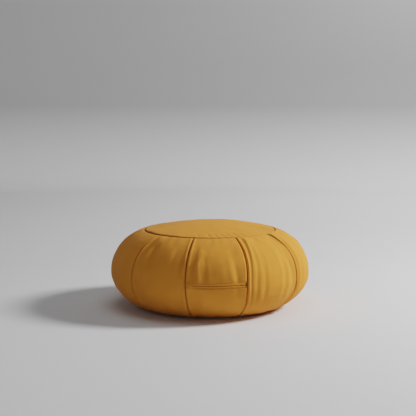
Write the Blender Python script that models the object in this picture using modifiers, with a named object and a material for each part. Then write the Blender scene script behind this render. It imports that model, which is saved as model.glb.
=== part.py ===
"""A zafu: the round, filled floor cushion that people sit on to meditate.

Two discs and ten side panels are sewn edge to edge round a loose filling. The front panel is cut
across at its widest height and closed with a zip. The solid of each panel is the cloth with the
filling behind it, as far as the middle of the cushion, so together they are one filled body whose
seams are rolled channels.

Metres, +Z up. The origin is the middle of the base, on the floor, and the zip faces -Y. Azimuths
are degrees from -Y towards +X. "Across" runs over a side panel from -1 at one seam to 1 at the next,
and "along" is the length down the side's outline from the top seam.
"""

import math

import bmesh
import bpy
import numpy as np

# ---------------------------------------------------------------- driving sizes
WIDEST_RADIUS = 0.1810
WIDEST_HEIGHT = 0.0644
TOP_SEAM_RADIUS = 0.1190
TOP_SEAM_HEIGHT = 0.1394
TOP_CROWN = 0.0126
BASE_SEAM_RADIUS = 0.1090

# How steeply the side leaves the top seam, and how far each end of its two curves is pulled
SHOULDER_SLOPE = math.radians(15)
SHOULDER_PULL = 0.0254
UPPER_SIDE_PULL = 0.0466
LOWER_SIDE_PULL = 0.0312
BASE_PULL = 0.0379

SEAM_ROLL = 0.0030            # how deep and how wide a panel's edge rolls into its seam
SEAM_DIP = 0.0020             # how far the side seams lie in from the fullest line of a panel
PIECE_GAP = 0.0003
DISC_EASE = 0.0006            # how much smaller each disc is cut than the seam that it is sewn into

# The four seams that run down the front; the rest of the ten panels share what is left evenly
FRONT_SEAMS = (-48.7, -13.4, 21.2, 57.8)
ZIP_PANEL = 1                 # which of the panels between them, counted from 0, holds the zip
PANEL_COUNT = 10

# The zip's slit, and the pocket behind it, measured in from the cloth's face
ZIP_HEIGHT = 0.0664
SLIT_ROLL = 0.0018
POCKET_FRONT = 0.0034
POCKET_BACK = 0.0064
POCKET_HALF_HEIGHT = 0.0031
GAPE_MIDDLE = 0.78
GAPE_HALF_WIDTH = 0.16
GAPE_HALF_HEIGHT = 0.0009

TEETH_FRONT = 0.0037
TEETH_BACK = 0.0051
TOOTH_PITCH = 0.0029
TOOTH_HALF_HEIGHT = 0.0016
TOOTH_ROOT_HALF_HEIGHT = 0.0010
TAPE_FRONT = 0.0054
TAPE_BACK = 0.0061
TAPE_HALF_HEIGHT = 0.0028
TAPE_STEPS = 12
ZIP_END_MARGIN = 0.0020

# ---------------------------------------------------------------- folds
# Soft ridges (rise above 0) and troughs (below 0) that run down the side panels. Each keeps to a
# line from (across_top, height_top) to (across_low, height_low), and dies away at both ends.
# panel, across_top, across_low, height_top, height_low, half_width, rise
FOLDS = (
    ("zip_panel", -0.78, -0.80, 0.134, 0.070, 0.0034, -0.0011),
    ("zip_panel", -0.57, -0.64, 0.132, 0.066, 0.0040, 0.0014),
    ("zip_panel", -0.42, -0.44, 0.124, 0.066, 0.0030, -0.0009),
    ("zip_panel", -0.25, -0.31, 0.108, 0.068, 0.0030, 0.0008),
    ("zip_panel", 0.41, 0.45, 0.124, 0.060, 0.0034, 0.0011),
    ("zip_panel", 0.57, 0.62, 0.126, 0.045, 0.0034, -0.0011),
    ("zip_panel", 0.77, 0.79, 0.128, 0.040, 0.0036, 0.0009),
    ("side_panel_1", -0.80, -0.90, 0.137, 0.030, 0.0024, -0.0018),
    ("side_panel_1", -0.71, -0.80, 0.130, 0.030, 0.0028, 0.0012),
    ("side_panel_1", -0.59, -0.68, 0.122, 0.034, 0.0030, -0.0012),
    ("side_panel_1", -0.48, -0.55, 0.118, 0.032, 0.0032, 0.0012),
    ("side_panel_1", -0.36, -0.42, 0.114, 0.036, 0.0032, -0.0009),
    ("side_panel_1", 0.25, 0.22, 0.118, 0.040, 0.0042, 0.0008),
    ("side_panel_1", 0.42, 0.37, 0.116, 0.036, 0.0034, -0.0009),
    ("side_panel_1", 0.52, 0.55, 0.108, 0.034, 0.0034, 0.0010),
    ("side_panel_1", 0.66, 0.70, 0.106, 0.040, 0.0034, -0.0008),
    ("side_panel_2", -0.80, -0.88, 0.122, 0.045, 0.0036, -0.0012),
    ("side_panel_2", -0.66, -0.74, 0.116, 0.050, 0.0036, 0.0007),
    ("side_panel_3", -0.55, -0.60, 0.118, 0.050, 0.0040, 0.0008),
    ("side_panel_3", 0.62, 0.58, 0.124, 0.066, 0.0036, -0.0007),
    ("side_panel_4", -0.30, -0.34, 0.110, 0.044, 0.0040, 0.0007),
    ("side_panel_4", 0.70, 0.74, 0.126, 0.060, 0.0034, 0.0008),
    ("side_panel_5", -0.72, -0.76, 0.128, 0.052, 0.0034, 0.0009),
    ("side_panel_5", 0.36, 0.30, 0.104, 0.040, 0.0040, -0.0006),
    ("side_panel_6", -0.64, -0.58, 0.120, 0.058, 0.0036, -0.0007),
    ("side_panel_6", 0.58, 0.66, 0.116, 0.046, 0.0038, 0.0009),
    ("side_panel_7", -0.46, -0.50, 0.122, 0.064, 0.0040, 0.0007),
    ("side_panel_7", 0.74, 0.78, 0.128, 0.070, 0.0032, -0.0007),
    ("side_panel_8", 0.34, 0.45, 0.108, 0.066, 0.0036, 0.0007),
    ("side_panel_8", 0.56, 0.70, 0.110, 0.060, 0.0030, 0.0007),
    ("side_panel_9", -0.62, -0.60, 0.134, 0.094, 0.0040, 0.0008),
    ("side_panel_9", -0.48, -0.44, 0.132, 0.092, 0.0040, -0.0008),
    ("side_panel_9", 0.51, 0.52, 0.124, 0.086, 0.0036, -0.0009),
    ("side_panel_9", 0.63, 0.64, 0.122, 0.084, 0.0030, 0.0007),
    ("side_panel_9", 0.76, 0.76, 0.120, 0.082, 0.0030, -0.0009),
)
FOLD_FADE = 0.012             # the length over which a fold dies away at either end
FOLD_STRAY = 0.25             # how far past its ends a fold's line still slants, as a share of it

# Short troughs of the top disc, which slant from inner_azimuth at inner_radius to rim_azimuth
# inner_azimuth, rim_azimuth, inner_radius, half_width, rise
PUCKERS = (
    (-13.0, -9.0, 0.097, 0.0024, -0.0008),
    (-3.5, 1.0, 0.094, 0.0026, -0.0009),
    (3.0, 7.5, 0.096, 0.0024, -0.0009),
    (9.0, 13.5, 0.095, 0.0024, -0.0009),
    (15.5, 20.0, 0.094, 0.0026, -0.0011),
    (22.0, 26.5, 0.094, 0.0026, -0.0011),
    (28.5, 33.0, 0.096, 0.0024, -0.0009),
)
PUCKER_FADE = 0.008

# Broad hollows and swellings of the top disc, where the filling has shifted
# azimuth, radius, half_width, rise
SWELLS = (
    (76.0, 0.088, 0.028, -0.0026),
    (-88.0, 0.096, 0.026, -0.0016),
    (150.0, 0.060, 0.045, 0.0012),
)

# ---------------------------------------------------------------- fineness of the solids
OUTLINE_SAMPLES = 240
ROLL_STOPS = (0.0, 0.25, 1.0)             # shares of a roll's width at which it has a point
ROW_SPACING = 0.0140
SHOWN_COLUMN_SPACING = 0.0052
HIDDEN_COLUMN_SPACING = 0.0160
SHOWN_PANELS = ("side_panel_1", "side_panel_9")
TOP_RING_RADII = (0.111, 0.106, 0.101, 0.096, 0.088, 0.072, 0.052, 0.028)
TOP_PLAIN_COLUMNS = 36        # columns of the top disc away from its puckers
BASE_STEPS = 48
WELD_DISTANCE = 0.00001
SHARP_EDGE = math.radians(50)

# ---------------------------------------------------------------- finishes: colour, roughness, metallic
COTTON = ((0.45, 0.22, 0.040), 0.85, 0.0)
TAPE_WEAVE = ((0.24, 0.20, 0.14), 0.80, 0.0)
TEETH_METAL = ((0.48, 0.47, 0.45), 0.40, 1.0)


# ---------------------------------------------------------------- the side's outline
def bezier(start, start_pull, end_pull, end):
    """Points of a cubic Bezier curve between two (radius, height) points."""
    t = np.linspace(0, 1, OUTLINE_SAMPLES)[:, None]
    return ((1 - t) ** 3 * np.array(start) + 3 * (1 - t) ** 2 * t * np.array(start_pull)
            + 3 * (1 - t) * t ** 2 * np.array(end_pull) + t ** 3 * np.array(end))


class Outline:
    """The side's outline from the top seam down to the base seam, read by length along it."""

    def __init__(self):
        shoulder = (TOP_SEAM_RADIUS + SHOULDER_PULL * math.cos(SHOULDER_SLOPE),
                    TOP_SEAM_HEIGHT - SHOULDER_PULL * math.sin(SHOULDER_SLOPE))
        upper = bezier((TOP_SEAM_RADIUS, TOP_SEAM_HEIGHT), shoulder,
                       (WIDEST_RADIUS, WIDEST_HEIGHT + UPPER_SIDE_PULL),
                       (WIDEST_RADIUS, WIDEST_HEIGHT))
        lower = bezier((WIDEST_RADIUS, WIDEST_HEIGHT),
                       (WIDEST_RADIUS, WIDEST_HEIGHT - LOWER_SIDE_PULL),
                       (BASE_SEAM_RADIUS + BASE_PULL, 0), (BASE_SEAM_RADIUS, 0))
        self.points = np.concatenate([upper, lower[1:]])
        steps = np.diff(self.points, axis=0)
        self.lengths = np.concatenate([[0], np.cumsum(np.hypot(steps[:, 0], steps[:, 1]))])
        self.length = self.lengths[-1]
        slopes = np.gradient(self.points, self.lengths, axis=0)
        slopes /= np.hypot(slopes[:, 0], slopes[:, 1])[:, None]
        self.normals = np.stack([-slopes[:, 1], slopes[:, 0]], axis=1)

    def radius(self, along):
        return np.interp(along, self.lengths, self.points[:, 0])

    def height(self, along):
        return np.interp(along, self.lengths, self.points[:, 1])

    def normal(self, along):
        """The outward and upward parts of the surface's normal."""
        return (np.interp(along, self.lengths, self.normals[:, 0]),
                np.interp(along, self.lengths, self.normals[:, 1]))

    def along_at_height(self, height):
        return np.interp(-height, -self.points[:, 1], self.lengths)


OUTLINE = Outline()
SLIT_ALONG = OUTLINE.along_at_height(ZIP_HEIGHT)
# The level planes in which the side panels part from the two discs
TOP_PLANE = TOP_SEAM_HEIGHT - SEAM_ROLL * math.cos(SHOULDER_SLOPE)
BASE_PLANE = SEAM_ROLL


# ---------------------------------------------------------------- the cloth's surface
def smooth_step(low, high, value):
    share = np.clip((value - low) / (high - low), 0, 1)
    return share * share * (3 - 2 * share)


def roll_depth(distance, roll):
    """Depth of a quarter-round roll at a distance from the edge that it turns in at."""
    turned = np.clip(1 - distance / roll, 0, 1)
    return roll * (1 - np.sqrt(1 - turned ** 2))


def seam_dip(across, along):
    """How far a panel falls back from its fullest line towards its seams."""
    return SEAM_DIP * across ** 2 * np.sin(math.pi * along / OUTLINE.length)


def fold_middle(fold, height):
    """Where a fold's middle line lies across its panel at a height."""
    _, across_top, across_low, height_top, height_low, _, _ = fold
    share = np.clip((height_top - height) / (height_top - height_low), -FOLD_STRAY, 1 + FOLD_STRAY)
    return across_top + share * (across_low - across_top)


def fold_rise(folds, across, height, half_arc):
    """Height of all of a panel's folds over its smooth surface."""
    total = np.zeros_like(across)
    for fold in folds:
        _, _, _, height_top, height_low, half_width, rise = fold
        sideways = (across - fold_middle(fold, height)) * half_arc
        strength = (smooth_step(height_top + FOLD_FADE / 2, height_top - FOLD_FADE / 2, height)
                    * smooth_step(height_low - FOLD_FADE / 2, height_low + FOLD_FADE / 2, height))
        total += rise * strength * np.exp(-(sideways / half_width) ** 2)
    return total


def place(radius, height, across, seams):
    """World points at a radius and height, half a gap inside the planes of both seams."""
    middle = math.radians(sum(seams) / 2)
    half = math.radians((seams[1] - seams[0]) / 2)
    azimuth = middle + across * (half - np.arcsin(PIECE_GAP / 2 / radius))
    return np.stack([radius * np.sin(azimuth), -radius * np.cos(azimuth),
                     height + 0 * azimuth], axis=-1)


# ---------------------------------------------------------------- grids of the side panels
def between(start, end, spacing):
    """Evenly spaced values strictly between two values, no further apart than a spacing."""
    count = max(1, math.ceil(abs(end - start) / spacing))
    return list(np.linspace(start, end, count + 1)[1:-1])


def row_lengths(start, end, start_roll, end_roll):
    """Lengths along the outline at which a panel has a row of points."""
    first = [start + share * start_roll for share in ROLL_STOPS]
    last = [end - share * end_roll for share in reversed(ROLL_STOPS)]
    return np.array(first + between(first[-1], last[0], ROW_SPACING) + last)


def column_positions(folds, height, half_arc, widest_half_arc, spacing):
    """Across positions of a row's points: in both rolls, on every fold's middle, and between."""
    roll = [1 - share * SEAM_ROLL / half_arc for share in ROLL_STOPS]
    stops = [-roll[-1]] + sorted(fold_middle(fold, height) for fold in folds) + [roll[-1]]
    widest = [-1] + sorted(fold_middle(fold, WIDEST_HEIGHT) for fold in folds) + [1]
    positions = [-value for value in roll]
    for index in range(len(stops) - 1):
        gap = (widest[index + 1] - widest[index]) * widest_half_arc
        steps = max(1, round(gap / spacing))
        positions += list(np.linspace(stops[index], stops[index + 1], steps + 1)[1:])
    return np.array(positions + roll[-2::-1])


def side_skin(folds, seams, spacing, start, end, start_roll, end_roll):
    """Radius, height and across position of the points of a side panel's face, rows downwards."""
    half = math.radians((seams[1] - seams[0]) / 2)
    rows = row_lengths(start, end, start_roll, end_roll)
    across = np.array([column_positions(folds, OUTLINE.height(row), OUTLINE.radius(row) * half,
                                        WIDEST_RADIUS * half, spacing) for row in rows])
    along = rows[:, None]
    radius = OUTLINE.radius(along)
    height = OUTLINE.height(along)
    from_side = (1 - np.abs(across)) * radius * half
    from_start = along - start
    from_end = end - along
    end_depth = np.maximum(roll_depth(from_start, start_roll), roll_depth(from_end, end_roll))
    depth = np.minimum(np.hypot(roll_depth(from_side, SEAM_ROLL), end_depth), SEAM_ROLL)
    clear_of_edges = (smooth_step(0.3, 1.6, from_side / SEAM_ROLL)
                      * smooth_step(0.3, 2.6, from_start / start_roll)
                      * smooth_step(0.3, 2.6, from_end / end_roll))
    offset = (fold_rise(folds, across, height, radius * half) * clear_of_edges
              - seam_dip(across, along) - depth)
    normal_out, normal_up = OUTLINE.normal(along)
    return radius + offset * normal_out, height + offset * normal_up, across


# ---------------------------------------------------------------- solids
def loft(name, sections, closed=False):
    """A solid through equal rings of points, capped at both ends unless it closes on itself."""
    shape = bmesh.new()
    rings = [[shape.verts.new(point) for point in section] for section in sections]
    pairs = list(zip(rings, rings[1:]))
    if closed:
        pairs.append((rings[-1], rings[0]))
    for ring, following in pairs:
        for index, vertex in enumerate(ring):
            after = (index + 1) % len(ring)
            shape.faces.new((vertex, ring[after], following[after], following[index]))
    if not closed:
        shape.faces.new(reversed(rings[0]))
        shape.faces.new(rings[-1])
    bmesh.ops.remove_doubles(shape, verts=shape.verts[:], dist=WELD_DISTANCE)
    bmesh.ops.recalc_face_normals(shape, faces=shape.faces[:])
    mesh = bpy.data.meshes.new(name)
    shape.to_mesh(mesh)
    shape.free()
    return mesh


def side_solid(name, seams, skin, first_height, last_height, pocket):
    """A side solid: its face, closed behind by level planes that meet in an edge near the axis.

    first_height and last_height are those planes. pocket lists the (depth, height) points of the
    zip's pocket in order, and gets each column's place across the panel.
    """
    radius, height, across = skin
    height[0] = first_height
    height[-1] = last_height
    edge = PIECE_GAP / 2 / math.sin(math.radians((seams[1] - seams[0]) / 2))
    sections = []
    for column in range(across.shape[1]):
        beside = across[-1, column]
        before, after = pocket(beside)
        ring = list(place(radius[:, column], height[:, column], across[:, column], seams))
        ring += [place(*point, beside, seams) for point in after]
        ring.append(place(edge, last_height, 0, seams))
        ring.append(place(edge, first_height, 0, seams))
        ring += [place(*point, across[0, column], seams) for point in before]
        sections.append(ring)
    return loft(name, sections)


def no_pocket(across):
    return (), ()


def face_radius(across):
    """Radius of the zip panel's smooth face at the slit."""
    return OUTLINE.radius(SLIT_ALONG) - seam_dip(across, SLIT_ALONG)


def slit_gape(across):
    """How far each folded edge stands off the middle of the slit where the zip peeps out."""
    reach = np.clip(np.abs(across - GAPE_MIDDLE) / GAPE_HALF_WIDTH, 0, 1)
    return GAPE_HALF_HEIGHT * (1 - smooth_step(0, 1, reach))


def pocket_points(across, side):
    """The pocket's corners from the slit inwards; side is 1 above the slit and -1 below it."""
    face = face_radius(across)
    lip = ZIP_HEIGHT + side * (PIECE_GAP / 2 + slit_gape(across))
    roof = ZIP_HEIGHT + side * POCKET_HALF_HEIGHT
    closed = ZIP_HEIGHT + side * PIECE_GAP / 2
    return ((face - POCKET_FRONT, lip), (face - POCKET_FRONT, roof),
            (face - POCKET_BACK, roof), (face - POCKET_BACK, closed))


def side_panel(name, seams):
    folds = [fold for fold in FOLDS if fold[0] == name]
    spacing = SHOWN_COLUMN_SPACING if name in SHOWN_PANELS else HIDDEN_COLUMN_SPACING
    skin = side_skin(folds, seams, spacing, 0, OUTLINE.length, SEAM_ROLL, SEAM_ROLL)
    mesh = side_solid(name, seams, skin, TOP_PLANE - PIECE_GAP / 2, BASE_PLANE + PIECE_GAP / 2,
                      no_pocket)
    return add_piece(name, mesh, COTTON)


def zip_panel_half(name, seams, side):
    """The half of the zip panel above (side 1) or below (side -1) the slit."""
    folds = [fold for fold in FOLDS if fold[0] == "zip_panel"]
    slit_plane = ZIP_HEIGHT + side * PIECE_GAP / 2
    if side > 0:
        skin = side_skin(folds, seams, SHOWN_COLUMN_SPACING, 0, SLIT_ALONG, SEAM_ROLL, SLIT_ROLL)
        ends = (TOP_PLANE - PIECE_GAP / 2, slit_plane)
    else:
        skin = side_skin(folds, seams, SHOWN_COLUMN_SPACING, SLIT_ALONG, OUTLINE.length,
                         SLIT_ROLL, SEAM_ROLL)
        ends = (slit_plane, BASE_PLANE + PIECE_GAP / 2)

    def pocket(across):
        points = pocket_points(across, side)
        return ((), points) if side > 0 else (tuple(reversed(points)), ())

    return add_piece(name, side_solid(name, seams, skin, *ends, pocket), COTTON)


def zip_strip(name, seams, depths, half_heights, finish):
    """A strip that follows the slit, with one half height for each of its sections."""
    half = math.radians((seams[1] - seams[0]) / 2)
    reach = 1 - ZIP_END_MARGIN / (face_radius(1) * half)
    sections = []
    for across, half_height in zip(np.linspace(-reach, reach, len(half_heights)), half_heights):
        front, back = (face_radius(across) - depth for depth in depths)
        corners = ((front, -half_height), (front, half_height),
                   (back, half_height), (back, -half_height))
        sections.append([place(radius, ZIP_HEIGHT + rise, across, seams)
                         for radius, rise in corners])
    return add_piece(name, loft(name, sections), finish)


def zip_teeth(seams):
    """The closed teeth as one bar, full at each tooth and narrow between two."""
    half = math.radians((seams[1] - seams[0]) / 2)
    length = 2 * (face_radius(1) * half - ZIP_END_MARGIN)
    teeth = round(length / TOOTH_PITCH)
    half_heights = [TOOTH_HALF_HEIGHT, TOOTH_ROOT_HALF_HEIGHT] * teeth
    return zip_strip("zip_teeth", seams, (TEETH_FRONT, TEETH_BACK), half_heights, TEETH_METAL)


def zip_tape(seams):
    half_heights = [TAPE_HALF_HEIGHT] * (TAPE_STEPS + 1)
    return zip_strip("zip_tape", seams, (TAPE_FRONT, TAPE_BACK), half_heights, TAPE_WEAVE)


# ---------------------------------------------------------------- the two discs
def pucker_azimuth(pucker, radius):
    inner_azimuth, rim_azimuth, inner_radius, _, _ = pucker
    share = (radius - inner_radius) / (TOP_SEAM_RADIUS - inner_radius)
    return inner_azimuth + max(0, share) * (rim_azimuth - inner_azimuth)


def top_height(radius, azimuth):
    """Height of the top disc's face: its crown, shifted filling and puckers."""
    height = TOP_SEAM_HEIGHT + TOP_CROWN * (1 - (radius / TOP_SEAM_RADIUS) ** 2)
    from_rim = smooth_step(0, 2 * SEAM_ROLL, TOP_SEAM_RADIUS - radius)
    for swell_azimuth, swell_radius, half_width, rise in SWELLS:
        turn = np.radians(azimuth - swell_azimuth)
        apart = np.sqrt(radius ** 2 + swell_radius ** 2 - 2 * radius * swell_radius * np.cos(turn))
        height = height + from_rim * rise * np.exp(-(apart / half_width) ** 2)
    for pucker in PUCKERS:
        _, _, inner_radius, half_width, rise = pucker
        sideways = np.radians(azimuth - pucker_azimuth(pucker, radius)) * radius
        strength = from_rim * smooth_step(inner_radius, inner_radius + PUCKER_FADE, radius)
        height = height + rise * strength * np.exp(-(sideways / half_width) ** 2)
    return height


def top_azimuths(radius):
    """Azimuths of a ring's points: on every pucker, halfway between two, and evenly round."""
    stops = [pucker_azimuth(pucker, radius) for pucker in PUCKERS]
    middles = [(one + other) / 2 for one, other in zip(stops, stops[1:])]
    plain = np.linspace(stops[-1], stops[0] + 360, TOP_PLAIN_COLUMNS + 2)[1:-1]
    return np.array(sorted(stops + middles) + list(plain))


def top_panel():
    """The crowned top disc on its level underside, rolled in all round to the top seam."""
    rim_slope = math.atan(2 * TOP_CROWN / TOP_SEAM_RADIUS)
    rim_radius = TOP_SEAM_RADIUS - DISC_EASE
    underside = TOP_PLANE + PIECE_GAP / 2
    rings = []
    for share in ROLL_STOPS:
        distance = share * SEAM_ROLL
        depth = roll_depth(distance, SEAM_ROLL)
        radius = rim_radius - distance * math.cos(rim_slope)
        azimuths = top_azimuths(radius)
        heights = top_height(radius, azimuths) - depth * math.cos(rim_slope)
        rings.append((radius - depth * math.sin(rim_slope), heights, azimuths))
    rings[0][1][:] = underside
    for radius in TOP_RING_RADII:
        azimuths = top_azimuths(radius)
        rings.append((radius, top_height(radius, azimuths), azimuths))
    columns = []
    for column in range(len(rings[0][2])):
        turns = [math.radians(azimuths[column]) for _, _, azimuths in rings]
        points = [(radius * math.sin(turn), -radius * math.cos(turn), heights[column])
                  for (radius, heights, _), turn in zip(rings, turns)]
        columns.append(points + [(0, 0, float(top_height(0, 0))), (0, 0, underside)])
    return add_piece("top_panel", loft("top_panel", columns, closed=True), COTTON)


def bottom_panel():
    """The flat base disc, turned from the outline of its rolled edge."""
    top = BASE_PLANE - PIECE_GAP / 2
    rim_radius = BASE_SEAM_RADIUS - DISC_EASE
    edge = [(rim_radius - share * SEAM_ROLL,
             min(top, float(roll_depth(share * SEAM_ROLL, SEAM_ROLL)))) for share in ROLL_STOPS]
    profile = [(0, top)] + edge + [(0, 0)]
    mesh = bpy.data.meshes.new("bottom_panel")
    mesh.from_pydata([(radius, 0, height) for radius, height in profile],
                     [(index, index + 1) for index in range(len(profile) - 1)], [])
    piece = add_piece("bottom_panel", mesh, COTTON)
    turn = piece.modifiers.new("turn", "SCREW")
    turn.steps = BASE_STEPS
    turn.render_steps = BASE_STEPS
    turn.use_merge_vertices = True
    turn.merge_threshold = WELD_DISTANCE
    turn.use_smooth_shade = True
    return piece


# ---------------------------------------------------------------- the cushion
def finish_material(name, finish):
    colour, roughness, metallic = finish
    material = bpy.data.materials.new(name)
    material.use_nodes = True
    shader = material.node_tree.nodes["Principled BSDF"]
    shader.inputs["Base Color"].default_value = (*colour, 1)
    shader.inputs["Roughness"].default_value = roughness
    shader.inputs["Metallic"].default_value = metallic
    material.diffuse_color = (*colour, 1)
    return material


def add_piece(name, mesh, finish):
    """A named object of the cushion with its own material, under the cushion's empty."""
    piece = bpy.data.objects.new(name, mesh)
    bpy.data.collections["zafu"].objects.link(piece)
    piece.parent = bpy.data.objects["zafu_frame"]
    mesh.materials.append(finish_material(name, finish))
    if mesh.polygons:
        mesh.shade_smooth()
        mesh.set_sharp_from_angle(angle=SHARP_EDGE)
    return piece


def panel_seams():
    """Pairs of seam azimuths round the cushion, starting with the zip panel's."""
    hidden = PANEL_COUNT - len(FRONT_SEAMS) + 1
    step = (360 - FRONT_SEAMS[-1] + FRONT_SEAMS[0]) / hidden
    azimuths = list(FRONT_SEAMS) + [FRONT_SEAMS[-1] + step * count for count in range(1, hidden)]
    azimuths = azimuths[ZIP_PANEL:] + [azimuth + 360 for azimuth in azimuths[:ZIP_PANEL + 1]]
    return list(zip(azimuths, azimuths[1:]))


def clear_scene():
    for leftover in list(bpy.data.objects):
        bpy.data.objects.remove(leftover, do_unlink=True)


def main():
    clear_scene()
    collection = bpy.data.collections.new("zafu")
    bpy.context.scene.collection.children.link(collection)
    frame = bpy.data.objects.new("zafu_frame", None)
    collection.objects.link(frame)

    seams = panel_seams()
    top_panel()
    bottom_panel()
    zip_panel_half("zip_panel_upper", seams[0], 1)
    zip_panel_half("zip_panel_lower", seams[0], -1)
    zip_tape(seams[0])
    zip_teeth(seams[0])
    for number, pair in enumerate(seams[1:], start=1):
        side_panel(f"side_panel_{number}", pair)


main()
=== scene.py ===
# %% [markdown]
# # A zafu, from its panels to its weave
#
# A zafu is the round cushion that people sit on to meditate. Two discs and ten side panels are sewn
# edge to edge round a loose filling of hulls, and one side panel is cut across for a zip. The packed
# model has a solid for every panel. This lesson gives each of them its cloth: it swells the cloth
# over the filling, folds it, rolls it into its seams, weaves it, and lights it in a plain studio.
#
# Everything is in metres, +Z is up, and the zip faces -Y. Azimuths are degrees from -Y towards +X.

import math

import bpy
import numpy as np
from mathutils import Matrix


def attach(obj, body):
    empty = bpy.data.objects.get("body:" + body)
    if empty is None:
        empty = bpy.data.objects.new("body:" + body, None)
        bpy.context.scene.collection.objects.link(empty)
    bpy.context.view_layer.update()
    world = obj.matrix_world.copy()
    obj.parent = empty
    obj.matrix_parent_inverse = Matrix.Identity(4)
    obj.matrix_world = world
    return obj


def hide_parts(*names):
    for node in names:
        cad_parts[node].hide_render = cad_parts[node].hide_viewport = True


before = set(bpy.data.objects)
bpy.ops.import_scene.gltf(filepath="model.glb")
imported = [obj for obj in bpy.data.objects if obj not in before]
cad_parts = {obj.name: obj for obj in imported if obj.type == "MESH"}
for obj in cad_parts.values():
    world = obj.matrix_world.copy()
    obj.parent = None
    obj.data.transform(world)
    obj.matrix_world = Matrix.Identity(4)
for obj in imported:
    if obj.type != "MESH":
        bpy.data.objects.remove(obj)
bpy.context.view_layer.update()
print("packed nodes:", ", ".join(sorted(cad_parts)))

# %% [markdown]
# ## The camera
#
# The picture is 416 pixels square. A long lens, 1.8 m away and a little above the cushion, looks
# level along +Y and tips down by six and a half degrees. It comes first, so that every later cell
# can be looked at as soon as it is written.

# %% Set up the camera
CAMERA_PLACE = (-0.0036, -1.80, 0.3845)
CAMERA_TIP = 0.1146
CAMERA_LENS = 85.98

camera_data = bpy.data.cameras.new("studio_camera")
camera_data.lens = CAMERA_LENS
camera_data.sensor_width = 36
camera = bpy.data.objects.new("studio_camera", camera_data)
camera.location = CAMERA_PLACE
camera.rotation_euler = (math.pi / 2 - CAMERA_TIP, 0, 0)
bpy.context.scene.collection.objects.link(camera)
bpy.context.scene.camera = camera
print("camera at", CAMERA_PLACE, "tipped down", round(math.degrees(CAMERA_TIP), 2), "degrees")

# %% [markdown]
# ## The sizes that all the panels share
#
# These are the cushion's driving sizes. The side's outline leaves the top seam in a shoulder, is
# widest a little below half height, and turns in under the cushion to the seam of the base disc.

# %% Write down the driving sizes
WIDEST_RADIUS = 0.1810
WIDEST_HEIGHT = 0.0644
TOP_SEAM_RADIUS = 0.1190
TOP_SEAM_HEIGHT = 0.1394
TOP_CROWN = 0.0126
BASE_SEAM_RADIUS = 0.1090
SHOULDER_SLOPE = math.radians(15)
SHOULDER_PULL = 0.0254
UPPER_SIDE_PULL = 0.0466
LOWER_SIDE_PULL = 0.0312
BASE_PULL = 0.0379

SEAM_ROLL = 0.0030        # how deep and how wide a panel's edge rolls into its seam
SEAM_DIP = 0.0020         # how far the side seams lie in from the fullest line of a panel
PIECE_GAP = 0.0003
DISC_EASE = 0.0006        # how much smaller each disc is cut than the seam that it is sewn into
TOP_PLANE = TOP_SEAM_HEIGHT - SEAM_ROLL * math.cos(SHOULDER_SLOPE)
BASE_PLANE = SEAM_ROLL
PANEL_TOP = TOP_PLANE - PIECE_GAP / 2        # a side panel's solid ends half a gap inside each plane
PANEL_BOTTOM = BASE_PLANE + PIECE_GAP / 2

FRONT_SEAMS = (-48.7, -13.4, 21.2, 57.2)
HIDDEN_PANELS = 7
hidden_step = (360 - FRONT_SEAMS[-1] + FRONT_SEAMS[0]) / HIDDEN_PANELS
seam_azimuths = list(FRONT_SEAMS[1:])
seam_azimuths += [FRONT_SEAMS[-1] + hidden_step * count for count in range(1, HIDDEN_PANELS + 1)]
seam_azimuths.append(FRONT_SEAMS[1] + 360)
PANEL_SEAMS = list(zip(seam_azimuths, seam_azimuths[1:]))
print("seams at", [round(azimuth, 1) for azimuth in seam_azimuths])

# %% [markdown]
# ## The side's outline
#
# A sewn, filled side has no straight line in it. Two cubic Bezier curves that meet upright at the
# widest height describe it well, and they need only the sizes above. Every panel reads the outline
# by the length along it, as cloth does, so a row of its grid is as far from the next row on the
# cloth as it is in the cut panel.

# %% Draw the outline
OUTLINE_STEPS = 240


def bezier(start, start_pull, end_pull, end):
    """Cubic Bezier: the four points weighted (1-t)^3, 3(1-t)^2 t, 3(1-t) t^2 and t^3."""
    t = np.linspace(0, 1, OUTLINE_STEPS)[:, None]
    return ((1 - t) ** 3 * np.array(start) + 3 * (1 - t) ** 2 * t * np.array(start_pull)
            + 3 * (1 - t) * t ** 2 * np.array(end_pull) + t ** 3 * np.array(end))


class Outline:
    """The side's (radius, height) curve from the top seam to the base seam, read by its length."""

    def __init__(self):
        shoulder = (TOP_SEAM_RADIUS + SHOULDER_PULL * math.cos(SHOULDER_SLOPE),
                    TOP_SEAM_HEIGHT - SHOULDER_PULL * math.sin(SHOULDER_SLOPE))
        widest = (WIDEST_RADIUS, WIDEST_HEIGHT)
        upper = bezier((TOP_SEAM_RADIUS, TOP_SEAM_HEIGHT), shoulder,
                       (WIDEST_RADIUS, WIDEST_HEIGHT + UPPER_SIDE_PULL), widest)
        lower = bezier(widest, (WIDEST_RADIUS, WIDEST_HEIGHT - LOWER_SIDE_PULL),
                       (BASE_SEAM_RADIUS + BASE_PULL, 0), (BASE_SEAM_RADIUS, 0))
        self.points = np.concatenate([upper, lower[1:]])
        steps = np.diff(self.points, axis=0)
        self.lengths = np.concatenate([[0], np.cumsum(np.hypot(steps[:, 0], steps[:, 1]))])
        self.length = self.lengths[-1]
        slopes = np.gradient(self.points, self.lengths, axis=0)
        slopes /= np.hypot(slopes[:, 0], slopes[:, 1])[:, None]
        self.normals = np.stack([-slopes[:, 1], slopes[:, 0]], axis=1)

    def radius(self, along):
        return np.interp(along, self.lengths, self.points[:, 0])

    def height(self, along):
        return np.interp(along, self.lengths, self.points[:, 1])

    def normal(self, along):
        """The outward and upward parts of the surface's normal."""
        return (np.interp(along, self.lengths, self.normals[:, 0]),
                np.interp(along, self.lengths, self.normals[:, 1]))

    def along_at_height(self, height):
        return float(np.interp(-height, -self.points[:, 1], self.lengths))


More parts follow.
